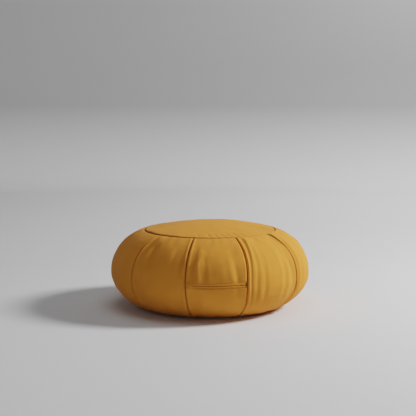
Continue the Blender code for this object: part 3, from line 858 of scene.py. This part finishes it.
def make_zip_half(panel):
    along, across = panel.grid(UPPER_ROWS if panel.side > 0 else LOWER_ROWS)
    face, crease, raised = panel.cloth(along, across)
    slit_plane = panel.slit_height(across)
    pocket_end = ZIP_HEIGHT + panel.side * POCKET_HALF_HEIGHT
    if panel.side > 0:
        pocket_end = pocket_end + panel.leaf(across)
    corners = ((POCKET_FRONT, slit_plane), (POCKET_FRONT, pocket_end), (POCKET_BACK, pocket_end),
               (POCKET_BACK, ZIP_HEIGHT + panel.side * PIECE_GAP / 2))
    pocket = [panel.place(face_radius(across) - inward, height + 0 * across, across)
              for inward, height in corners]
    if panel.side > 0:
        face[0, :, 2] = PANEL_TOP
        face[-1, :, 2] = slit_plane
        points = wedge(panel, face, PANEL_TOP, ZIP_HEIGHT + PIECE_GAP / 2, after=pocket)
        return wedge_piece(panel, points, along, across, crease, raised, after=len(pocket))
    face[0, :, 2] = slit_plane
    face[-1, :, 2] = PANEL_BOTTOM
    points = wedge(panel, face, ZIP_HEIGHT - PIECE_GAP / 2, PANEL_BOTTOM, before=pocket[::-1])
    return wedge_piece(panel, points, along, across, crease, raised, before=len(pocket))


zip_upper = ZipPanel("zip_panel_upper", 1)
zip_lower = ZipPanel("zip_panel_lower", -1)
zip_pieces = [make_zip_half(zip_upper), make_zip_half(zip_lower)]
print("zip panel halves:", [triangle_count(piece) for piece in zip_pieces], "triangles")

# %% [markdown]
# ## The top disc
#
# The top is one round of the same cloth. The filling crowns it, has shifted away under two places,
# and its edge is eased into the ring seam, which leaves short slanting puckers behind the front of
# the seam. Its grid is polar: the first ring is the middle, all of whose points fall on each other.

# %% Make the top disc
# inner_azimuth, rim_azimuth, inner_radius, half_width, rise
PUCKERS = (
    (-13.0, -9.0, 0.097, 0.0024, -0.0008),
    (-3.5, 1.0, 0.094, 0.0026, -0.0009),
    (3.0, 7.5, 0.096, 0.0024, -0.0009),
    (9.0, 13.5, 0.095, 0.0024, -0.0009),
    (15.5, 20.0, 0.094, 0.0026, -0.0011),
    (22.0, 26.5, 0.094, 0.0026, -0.0011),
    (28.5, 33.0, 0.096, 0.0024, -0.0009),
)
PUCKER_FADE = 0.008
# azimuth, radius, half_width, rise
SWELLS = (
    (76.0, 0.088, 0.028, -0.0026),
    (-88.0, 0.096, 0.026, -0.0016),
    (-66.0, 0.098, 0.018, 0.0014),
    (-35.0, 0.098, 0.020, 0.0012),
    (150.0, 0.060, 0.045, 0.0012),
)
TOP_RINGS = 100
TOP_COLUMNS = 600
TOP_WAVE_SEED = 41
TOP_WAVE_CELL = 0.011
INSIDE_TABLE = 0.2                # moves the disc to where the noise's table has no edge


def crown_height(radius):
    """The smooth crown, 1 - (r / seam r)^2."""
    return TOP_SEAM_HEIGHT + TOP_CROWN * (1 - (radius / TOP_SEAM_RADIUS) ** 2)


def top_height(radius, azimuth):
    """The crown with its shifted filling, its puckers and a faint wave."""
    height = crown_height(radius)
    from_rim = smooth_step(0, 2 * SEAM_ROLL, TOP_SEAM_RADIUS - radius)
    for swell_azimuth, swell_radius, half_width, rise in SWELLS:
        turn = np.radians(azimuth - swell_azimuth)
        apart = np.sqrt(radius ** 2 + swell_radius ** 2 - 2 * radius * swell_radius * np.cos(turn))
        height = height + from_rim * rise * bell(apart, 0, half_width)
    for inner_azimuth, rim_azimuth, inner_radius, half_width, rise in PUCKERS:
        share = np.maximum(0, (radius - inner_radius) / (TOP_SEAM_RADIUS - inner_radius))
        middle = inner_azimuth + share * (rim_azimuth - inner_azimuth)
        sideways = np.radians(apart_azimuth(azimuth, middle)) * radius
        strength = from_rim * smooth_step(inner_radius, inner_radius + PUCKER_FADE, radius)
        height = height + rise * strength * bell(sideways, 0, half_width)
    turn = np.radians(azimuth)
    wave = soft_noise(TOP_WAVE_SEED, TOP_WAVE_CELL, radius * np.sin(turn) + INSIDE_TABLE,
                      radius * np.cos(turn) + INSIDE_TABLE)
    return height + WAVE_RISE * from_rim * wave


def polar_rings(count):
    """Shares of a disc's radius, from the middle out, closer together near the rim."""
    return (np.sin(math.pi / 2 * np.linspace(0, 1, count)) ** 0.9)[:, None]


def disc_piece(name, rows, level, crease, raised, order=1):
    """A disc from rings that run outwards, closed by a level round; order -1 faces it down."""
    closing = np.zeros_like(rows[:1])
    closing[..., 2] = level
    points = np.concatenate([rows, closing])[::order]
    uv = np.concatenate([rows[..., :2], rows[-1:, :, :2]])[::order]
    pads = ((0, 1), (0, 0))
    # The closing round takes full painted shade.
    return grid_piece(name, [(points, uv)], raised=np.pad(raised, pads)[::order],
                      crease=np.pad(crease, pads, constant_values=1.0)[::order])


def make_top_disc():
    rim_radius = TOP_SEAM_RADIUS - DISC_EASE
    rim_slope = math.atan(2 * TOP_CROWN / TOP_SEAM_RADIUS)
    underside = TOP_PLANE + PIECE_GAP / 2
    azimuth = np.linspace(0, 360, TOP_COLUMNS + 1)[None, :]
    distance = (1 - polar_rings(TOP_RINGS)) * rim_radius
    roll, shade_width, shade = ring_seam(apart_azimuth(azimuth, 0))
    depth = roll_depth(distance, roll)
    radius = rim_radius - distance
    height = top_height(radius, azimuth) - depth * math.cos(rim_slope)
    edge = radius - depth * math.sin(rim_slope)
    height[-1] = underside
    rows = carry_round(edge, full_turn(TOP_COLUMNS), height)
    rows[0] = rows[0, :1]
    # Where the disc stands above its crown it is worn paler; in dips and puckers it is painted darker
    # with shade.
    raised = (top_height(radius, azimuth) - crown_height(radius)) / RIDGE_RISE
    return disc_piece("cloth_top_panel", rows, underside,
                      shade_line(distance, shade_width, shade), raised)


top_disc = make_top_disc()
print("top disc:", triangle_count(top_disc), "triangles")

# %% [markdown]
# ## The base disc
#
# The weight of the filling presses the base flat on the floor. Its edge rolls up into the base seam
# all round.

# %% Make the base disc
BASE_RINGS = 40
BASE_COLUMNS = 360


def make_base_disc():
    rim_radius = BASE_SEAM_RADIUS - DISC_EASE
    top = BASE_PLANE - PIECE_GAP / 2
    turn = full_turn(BASE_COLUMNS)
    radius = polar_rings(BASE_RINGS) * rim_radius
    height = np.minimum(roll_depth(rim_radius - radius, SEAM_ROLL), top)
    crease = shade_line(rim_radius - radius, *BASE_SHADE) + 0 * turn
    return disc_piece("cloth_bottom_panel", carry_round(radius, turn, height), top,
                      crease, 0 * crease, order=-1)


base_disc = make_base_disc()
print("base disc:", triangle_count(base_disc), "triangles")

# %% [markdown]
# ## The zip's tape and teeth
#
# Behind the slit lies a flat woven tape, and on it the closed teeth. Each tooth is a small rounded
# block, a superellipsoid: cosines and sines of two angles, raised to a power below 1, which squares
# them up. Teeth from the upper and the lower tape take turns.

# %% Make the tape and the teeth
TEETH_FRONT = 0.0017
TEETH_BACK = 0.0037
TOOTH_PITCH = 0.0029
TAPE_FRONT = 0.0040
TAPE_BACK = 0.0047
TAPE_HALF_HEIGHT = 0.0028
ZIP_END_MARGIN = 0.0020
TOOTH_HALF_WIDTH = 0.00055
TOOTH_HALF_HEIGHT = 0.00115
TOOTH_STAGGER = 0.00085
TOOTH_MIDDLE = (TEETH_FRONT + TEETH_BACK) / 2

zip_reach = 1 - ZIP_END_MARGIN / (float(face_radius(1)) * zip_upper.half)


def make_tape():
    """A strip round the slit: a flat box section carried across the panel."""
    across = np.linspace(-zip_reach, zip_reach, 200)[None, :]
    heights = np.linspace(-1, 1, 9)
    section = [(TAPE_FRONT, height) for height in heights[::-1]]
    section += [(TAPE_BACK, height) for height in heights]
    section.append(section[0])
    inward = np.array([depth for depth, _ in section])[:, None]
    rise = np.array([height for _, height in section])[:, None] * TAPE_HALF_HEIGHT
    rows = zip_upper.place(face_radius(across) - inward, ZIP_HEIGHT + rise + 0 * across, across)
    ends = [np.repeat(rows[:, end:end + 1].mean(axis=0, keepdims=True), len(rows), axis=0)
            for end in (0, rows.shape[1] - 1)]
    points = np.concatenate([ends[0], rows, ends[1]], axis=1)
    arc = across * zip_upper.half * face_radius(across) + 0 * rise
    run = np.cumsum(np.concatenate([[0], np.hypot(np.diff(inward[:, 0]), np.diff(rise[:, 0]))]))
    uv = np.stack([np.pad(arc, ((0, 0), (1, 1)), mode="edge"),
                   np.repeat(run[:, None], arc.shape[1] + 2, axis=1)], axis=-1)
    return grid_piece("woven_zip_tape", [(points, uv)])


def squared(values, power):
    return np.sign(values) * np.abs(values) ** power


def make_teeth():
    """Superellipsoids in two rows that take turns along the slit."""
    length = 2 * zip_reach * zip_upper.half * float(face_radius(0.5))
    count = 2 * round(length / TOOTH_PITCH)
    tip = np.linspace(math.pi / 2, -math.pi / 2, 9)[:, None]
    spin = np.linspace(0, 2 * math.pi, 13)[None, :]
    along = squared(np.cos(tip), 0.5) * squared(np.cos(spin), 0.6)
    inward = squared(np.cos(tip), 0.5) * squared(np.sin(spin), 0.6)
    upward = squared(np.sin(tip), 0.5) + 0 * spin
    patches = []
    for number, across in enumerate(np.linspace(-zip_reach, zip_reach, count + 2)[1:-1]):
        side = 1 if number % 2 else -1
        turn = across + along * TOOTH_HALF_WIDTH / (zip_upper.half * float(face_radius(across)))
        radius = face_radius(across) - TOOTH_MIDDLE + inward * (TEETH_BACK - TEETH_FRONT) / 2
        height = ZIP_HEIGHT + side * TOOTH_STAGGER + upward * TOOTH_HALF_HEIGHT
        patches.append((zip_upper.place(radius, height, turn),
                        np.stack([along + 3 * number, upward], axis=-1) * 0.001))
    return grid_piece("metal_zip_teeth", patches)


zip_tape_piece = make_tape()
zip_teeth_piece = make_teeth()
print("zip tape and teeth:", triangle_count(zip_tape_piece), triangle_count(zip_teeth_piece))

# %% [markdown]
# ## Topstitching
#
# Two lines of stitches hold the folded edges down. Each stitch is a short tube that bends into the
# cloth at both ends: a circle carried along a path, its radius fading to nothing at the ends.

# %% Sew the topstitching
STITCH_PITCH = 0.0030
STITCH_LENGTH = 0.0025
THREAD_RADIUS = 0.00028
THREAD_RISE = 0.00018            # of a stitch's middle above the cloth, and how far its ends sink
THREAD_SINK = 0.00035


def make_stitches(panel, line, name):
    """Tubes on the cloth, with radius THREAD_RADIUS (1 - t^4), t from -1 to 1 along the stitch."""
    along = SLIT_ALONG - panel.side * line
    arc = float(OUTLINE.radius(along)) * panel.half
    count = int((2 * arc - 2 * SEAM_ROLL) / STITCH_PITCH)
    middles = (np.arange(count) - (count - 1) / 2) * STITCH_PITCH
    t = np.linspace(-1, 1, 9)
    spin = np.linspace(0, 2 * math.pi, 9)
    across = (middles[:, None] + t * STITCH_LENGTH / 2) / arc
    path, _, _ = panel.cloth(np.full((1, 1), along), across)
    outward = panel.outward(across)
    path = path + (THREAD_RISE - THREAD_SINK * t ** 4)[:, None] * outward
    thick = THREAD_RADIUS * np.sqrt(1 - t ** 4)[:, None]
    patches = []
    for centre, out in zip(path, outward):
        ring = (thick[..., None] * (np.cos(spin)[:, None] * out[:, None]
                                    + np.sin(spin)[:, None] * np.array([0, 0, 1])))
        tube = centre[:, None] + ring
        uv = np.stack(np.broadcast_arrays(t[:, None] * STITCH_LENGTH / 2, spin * THREAD_RADIUS),
                      axis=-1)
        patches.append((np.swapaxes(tube, 0, 1), np.swapaxes(uv, 0, 1)))
    return grid_piece(name, patches)


stitch_pieces = [make_stitches(zip_upper, UPPER_STITCH_LINE, "zip_topstitch_upper"),
                 make_stitches(zip_lower, LOWER_STITCH_LINE, "zip_topstitch_lower")]
print("topstitching:", [triangle_count(piece) for piece in stitch_pieces], "triangles")

# %% [markdown]
# ## Shader maths
#
# A material is a graph of nodes. A small class wraps a node's output, so that sums can be written as
# Python, and each sign adds one Math node. Everything else goes through one method, `node`.

# %% Wrap the shader's sockets
class Value:
    """A number that changes over a surface. Python's signs on it add Math nodes."""

    def __init__(self, finish, socket):
        self.finish = finish
        self.socket = socket

    def maths(self, operation, *values):
        return self.finish.node("ShaderNodeMath", {"operation": operation}, dict(enumerate(values)))

    def __add__(self, other):
        return self.maths("ADD", self, other)

    def __sub__(self, other):
        return self.maths("SUBTRACT", self, other)

    def __rsub__(self, other):
        return self.maths("SUBTRACT", other, self)

    def __mul__(self, other):
        return self.maths("MULTIPLY", self, other)

    def __abs__(self):
        return self.maths("ABSOLUTE", self)

    __radd__ = __add__
    __rmul__ = __mul__

    def sine(self):
        return self.maths("SINE", self)

    def larger(self, other):
        return self.maths("MAXIMUM", self, other)

    def limited(self):
        return self.finish.node("ShaderNodeClamp", {}, {"Value": self})


class Finish:
    """A material with a Principled shader, and the one way to add any other node to it."""

    def __init__(self, name, roughness, metallic=0.0):
        self.material = bpy.data.materials.new(name)
        self.material.use_nodes = True
        self.tree = self.material.node_tree
        self.shader = self.tree.nodes["Principled BSDF"]
        self.shader.inputs["Roughness"].default_value = roughness
        self.shader.inputs["Metallic"].default_value = metallic

    def node(self, kind, settings, sockets, output=0):
        """Adds a node; sets its settings first, then its sockets, by identifier or number."""
        node = self.tree.nodes.new(kind)
        for setting, value in settings.items():
            setattr(node, setting, value)
        for key, value in sockets.items():
            self.feed(node, key, value)
        return Value(self, node.outputs[output])

    def feed(self, node, key, value):
        named = {socket.identifier: socket for socket in node.inputs}
        socket = node.inputs[key] if isinstance(key, int) else named[key]
        if isinstance(value, Value):
            self.tree.links.new(value.socket, socket)
        else:
            socket.default_value = value

    def mix(self, share, one, other):
        """A colour between two colours."""
        return self.node("ShaderNodeMix", {"data_type": "RGBA"},
                         {"Factor_Float": share, "A_Color": one, "B_Color": other}, output=2)

    def bump(self, height, distance, strength=1.0, under=None):
        sockets = {"Height": height, "Distance": distance, "Strength": strength}
        if under is not None:
            sockets["Normal"] = under
        return self.node("ShaderNodeBump", {}, sockets)

    def attribute(self, name):
        return self.node("ShaderNodeAttribute", {"attribute_name": name}, {}, output=2)

    def cloth_place(self):
        return self.node("ShaderNodeUVMap", {"uv_map": "cloth"}, {})

    def object_place(self):
        return self.node("ShaderNodeTexCoord", {}, {}, output=3)

    def part(self, vector, axis):
        """One of a vector's three numbers."""
        return self.node("ShaderNodeSeparateXYZ", {}, {0: vector}, output=axis)

    def slub(self, where, *scale):
        """Thick and thin yarn: noise drawn out along the thread."""
        return self.noise(self.node("ShaderNodeMapping", {}, {"Vector": where, "Scale": scale}), 1.0)

    def noise(self, where, scale, detail=2.0, rough=0.5):
        return self.node("ShaderNodeTexNoise", {}, {"Vector": where, "Scale": scale,
                                                    "Detail": detail, "Roughness": rough})

    def dress(self, *pieces):
        for piece in pieces:
            piece.data.materials.clear()
            piece.data.materials.append(self.material)


print("Value has", len([name for name in vars(Value) if name.startswith("__")]), "special methods")

# %% [markdown]
# ## The cotton
#
# The cloth is a plain weave: each thread passes over one and under one. With `over` a product of two
# sines, which is 1 where a warp thread is on top and -1 where a weft thread is, the height of the
# cloth is the higher of two rounded threads. The pattern follows the cloth, so it reads the UV map,
# which is in metres. Colour varies with the yarn and in soft blotches. Painted shade darkens the
# pits of the weave, and the seams, keen creases, slit, stitch lines and tuck. Where the cloth stands
# out it is a little paler, which is wear on ridges and lips and painted light on the zip's leaf, and
# where it sinks it is darker, which is painted shade. Cotton has a short fuzz, which is the shader's
# sheen.

# %% Weave the cotton
THREAD_PITCH = 0.0006


def weave_cotton(name, light, dark, painted_shade_colour):
    finish = Finish(name, 0.88)
    where = finish.cloth_place()
    warp, weft = [(finish.part(where, axis) * (math.pi / THREAD_PITCH)).sine() for axis in (0, 1)]
    over = warp * weft
    height = (abs(warp) * (0.5 + 0.5 * over)).larger(abs(weft) * (0.5 - 0.5 * over))
    slub_u = finish.slub(where, 1400, 60, 1)
    slub_v = finish.slub(where, 60, 1400, 1)
    place = finish.object_place()
    blotch = finish.noise(place, 38.0, 3.0, 0.6)
    crease, raised = finish.attribute("crease"), finish.attribute("raised")
    # Yarn and blotches are the cotton's own. The weave height paints the pits between threads darker
    # as shade. Raised cloth is paler, as wear on ridges and lips and as painted light on the zip's
    # leaf, and sunk cloth is darker, as painted shade in troughs, puckers, stitch lines and the tuck.
    tone = 0.30 * slub_u + 0.30 * slub_v + 0.9 * blotch - 0.25 + 0.10 * raised + 0.16 * height
    cloth = finish.mix(tone.limited(), dark, light)
    # Painted shade: seams, keen creases, slit, stitch lines, tuck and hidden faces are mixed towards
    # the seam shade colour.
    finish.feed(finish.shader, "Base Color", finish.mix((0.9 * crease).limited(), cloth, painted_shade_colour))
    fuzz = finish.noise(place, 900.0, 2.0, 0.6)
    yarn = finish.bump(slub_u + slub_v, 0.00012, 0.6)
    weave = finish.bump(height, 0.00012, 0.55, yarn)
    finish.feed(finish.shader, "Normal", finish.bump(fuzz, 0.0001, 0.25, weave))
    finish.shader.inputs["Sheen Weight"].default_value = 0.05
    finish.shader.inputs["Sheen Roughness"].default_value = 0.5
    finish.shader.inputs["Sheen Tint"].default_value = (1.0, 0.80, 0.45, 1)
    finish.shader.inputs["Specular IOR Level"].default_value = 0.12
    return finish


COTTON_LIGHT = (0.70, 0.252, 0.033, 1)
COTTON_DARK = (0.58, 0.196, 0.022, 1)
# The colour of the painted shade in seams, creases, the slit, the stitch lines and the tuck.
SEAM_SHADE = (0.17, 0.055, 0.006, 1)
cotton = weave_cotton("mustard_cotton", COTTON_LIGHT, COTTON_DARK, SEAM_SHADE)
cloth_pieces = side_pieces + zip_pieces + [top_disc, base_disc]
cotton.dress(*cloth_pieces, *stitch_pieces)
print("cotton nodes:", len(cotton.tree.nodes))

# %% [markdown]
# ## The tape and the metal
#
# The tape is a herringbone: stripes of thread whose slant swings from side to side, which is a sine
# shifted by another sine. The teeth are a pale, dull metal, a little tarnished in spots, and half as
# metallic as bare steel, so that they show in the dark of the slit.

# %% Finish the zip
tape = Finish("brown_zip_tape", 0.85)
tape_place = tape.cloth_place()
herringbone = (tape.part(tape_place, 0) * 5200 + 6.0 * (tape.part(tape_place, 1) * 1100).sine()).sine()
tape.feed(tape.shader, "Base Color", tape.mix(herringbone * 0.5 + 0.5, (0.19, 0.15, 0.10, 1),
                                             (0.28, 0.23, 0.16, 1)))
tape.feed(tape.shader, "Normal", tape.bump(herringbone, 0.0001, 0.6))
tape.dress(zip_tape_piece)

metal = Finish("dull_zip_metal", 0.42, 0.5)
tarnish = metal.noise(metal.object_place(), 700.0, 3.0, 0.6)
metal.feed(metal.shader, "Base Color", metal.mix(tarnish, (0.70, 0.71, 0.72, 1),
                                                (0.88, 0.89, 0.90, 1)))
metal.feed(metal.shader, "Roughness", 0.30 + 0.25 * tarnish)
metal.dress(zip_teeth_piece)
print("zip finishes:", tape.material.name, metal.material.name)

# %% [markdown]
# ## The studio
#
# The cushion is looked at from all sides, so the pale floor is round, and turns up all round it into
# a grey wall that stands behind the camera wherever the camera goes. A small strong light from the
# right makes the crisp shadows, a large weak one from above fills them, and a third light faces
# away from the cushion and only brightens the wall behind it.

# %% Lay the floor and light the studio
FLOOR_RADIUS = 2.2
CORNER_RADIUS = 0.5
WALL_HEIGHT = 3.5
FLOOR_ROWS, CORNER_ROWS, WALL_ROWS = 40, 23, 20
STUDIO_COLUMNS = 120
CUSHION_MIDDLE = (0, 0, 0.08)


def make_studio():
    """A profile of radius and height, floor, quarter circle and wall, turned round Z."""
    corner = np.linspace(0, math.pi / 2, CORNER_ROWS + 1)[1:]
    radii = np.concatenate([np.linspace(0, FLOOR_RADIUS, FLOOR_ROWS),
                            FLOOR_RADIUS + CORNER_RADIUS * np.sin(corner),
                            np.full(WALL_ROWS, FLOOR_RADIUS + CORNER_RADIUS)])[:, None]
    heights = np.concatenate([np.zeros(FLOOR_ROWS), CORNER_RADIUS * (1 - np.cos(corner)),
                              np.linspace(CORNER_RADIUS, WALL_HEIGHT, WALL_ROWS + 1)[1:]])[:, None]
    points = carry_round(radii, full_turn(STUDIO_COLUMNS), heights)
    return grid_piece("studio_bowl", [(points, points[..., :2])])


bowl = make_studio()
plaster = Finish("pale_plaster", 0.75)
plaster_place = plaster.object_place()
patchy = plaster.noise(plaster_place, 3.0, 4.0, 0.6)
plaster_height = plaster.part(plaster_place, 2)
floor_tone = plaster.mix(patchy, (0.70, 0.70, 0.705, 1), (0.74, 0.74, 0.745, 1))
plaster.feed(plaster.shader, "Base Color", plaster.mix((3 * plaster_height).limited(), floor_tone,
                                                      (0.30, 0.30, 0.303, 1)))
plaster.dress(bowl)


def add_area_light(name, place, target, size, power):
    light = bpy.data.lights.new(name, "AREA")
    light.shape = "DISK"
    light.size = size
    light.energy = power
    lamp = bpy.data.objects.new(name, light)
    direction = np.array(target) - np.array(place)
    lamp.location = place
    flat = math.hypot(direction[0], direction[1])
    lamp.rotation_euler = (math.atan2(flat, -direction[2]), 0,
                           math.atan2(direction[1], direction[0]) - math.pi / 2)
    bpy.context.scene.collection.objects.link(lamp)


add_area_light("key_light", (1.7, 0.1, 1.25), CUSHION_MIDDLE, 0.5, 63)
add_area_light("overhead_light", (0.1, -0.3, 2.3), CUSHION_MIDDLE, 1.8, 11.2)
add_area_light("wall_light", (1.2, 1.5, 1.5), (0.8, 2.7, 1.0), 0.8, 27.8)
air = bpy.data.worlds.new("studio_air")
air.use_nodes = True
air.node_tree.nodes["Background"].inputs["Color"].default_value = (0.94, 0.96, 1.0, 1)
air.node_tree.nodes["Background"].inputs["Strength"].default_value = 0.004
bpy.context.scene.world = air
bpy.context.scene.view_settings.view_transform = "Filmic"

# %% [markdown]
# ## Put the pieces on the body
#
# Every piece rides on the cushion's one body. Each cloth piece, the tape and the teeth hide the
# packed solid that they replace.

# %% Hang every piece on the body and hide the solids it replaces
replaced = {f"cloth_{node}": node for node in
            [f"side_panel_{number}" for number in range(1, 10)]
            + ["zip_panel_upper", "zip_panel_lower", "top_panel", "bottom_panel"]}
for piece in cloth_pieces:
    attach(piece, "root")
    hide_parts(replaced[piece.name])
for piece in stitch_pieces:
    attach(piece, "root")
for piece, node in ((zip_tape_piece, "zip_tape"), (zip_teeth_piece, "zip_teeth")):
    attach(piece, "root")
    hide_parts(node)
print("pieces:", len(cloth_pieces) + len(stitch_pieces) + 2)
